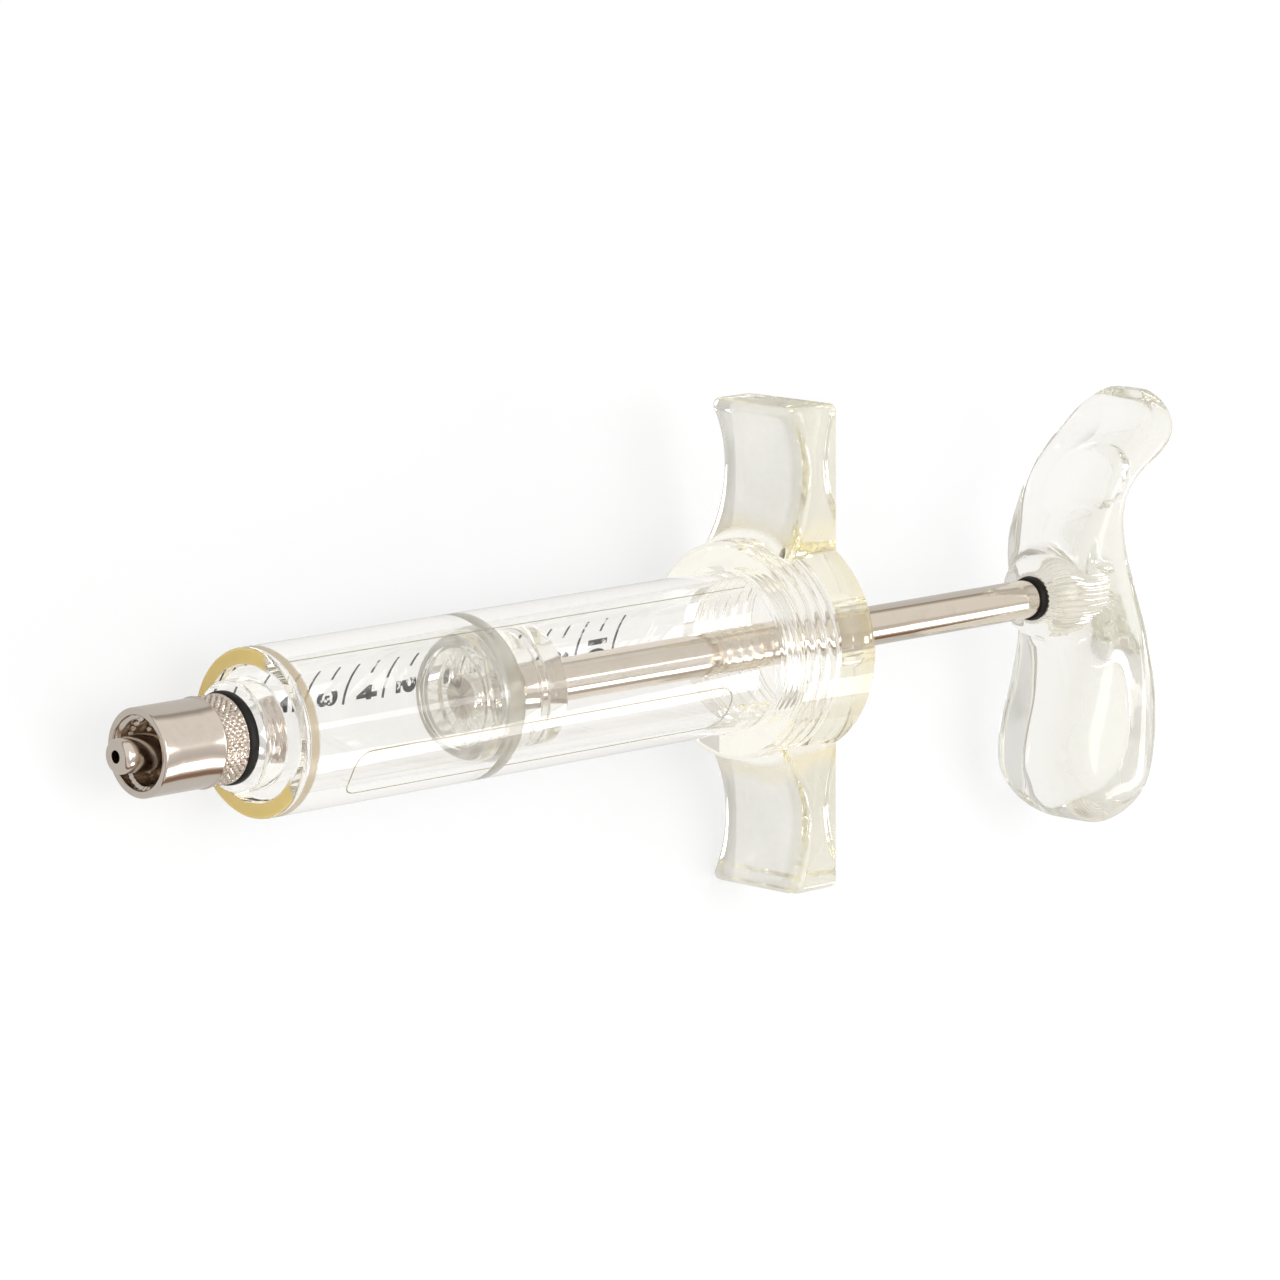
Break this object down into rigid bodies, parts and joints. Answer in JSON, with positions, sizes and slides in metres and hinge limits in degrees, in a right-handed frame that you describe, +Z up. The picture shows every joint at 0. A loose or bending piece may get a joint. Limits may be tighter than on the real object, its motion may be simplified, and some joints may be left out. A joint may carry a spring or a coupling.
{
  "type": "luer lock syringe",
  "caption": "Reusable clear plastic syringe lying on its side, with a metal luer lock nozzle, finger flange, steel plunger rod and S-shaped palm handle.",
  "frame": {"origin": "middle of the space the syringe takes up, on the surface it lies on", "axes": "+X along the syringe from nozzle to handle, +Y towards the wing that is held up, +Z up from the surface. The syringe's own axis is pitched 2.66 degrees nose down, and the piece is rolled 12.95 degrees, because it rests on the barrel's front edge, the collar's rear edge and one wing tip"},
  "size_m": [0.166, 0.0594, 0.0276],
  "materials": {
    "clear_plastic": "polished",
    "flange_plastic": "gloss",
    "handle_plastic": "polished",
    "piston_plastic": "gloss",
    "seal_silicone": "satin",
    "black_rubber": "satin",
    "plated_brass": "polished",
    "rod_steel": "polished",
    "insert_metal": "satin"
  },
  "bodies": {
    "housing": {"barrel": "clear_plastic", "finger_flange": "flange_plastic"},
    "nozzle_washer": {"nozzle_ring": "black_rubber"},
    "nozzle": {"luer_lock": "plated_brass"},
    "seal": {"piston_seal": "seal_silicone"},
    "plunger": {"piston_front": "piston_plastic", "piston_rear": "piston_plastic", "plunger_rod": "rod_steel", "handle_ring": "black_rubber", "handle_insert": "insert_metal", "handle": "handle_plastic"}
  },
  "joints": [
    {"name": "plunger_slide", "type": "slide", "parent": "housing", "child": "seal", "axis": [0.9989, 0, 0.0464], "range_m": [-0.0273, 0.0406]},
    {"name": "plunger_turn", "type": "hinge", "parent": "seal", "child": "plunger", "pos_m": [-0.03001, 0, 0.01112], "axis": [0.9989, 0, 0.0464], "continuous": true},
    {"name": "nozzle_advance", "type": "slide", "parent": "housing", "child": "nozzle_washer", "axis": [-0.9989, 0, -0.0464], "range_m": [0, 0.004]},
    {"name": "nozzle_unscrew", "type": "hinge", "parent": "nozzle_washer", "child": "nozzle", "pos_m": [-0.06796, 0, 0.00936], "axis": [-0.9989, 0, -0.0464], "range_deg": [0, 1500]}
  ],
  "couplings": [
    {"joint": "nozzle_unscrew", "follows": "nozzle_advance", "rad_per_m": 6283.2}
  ]
}
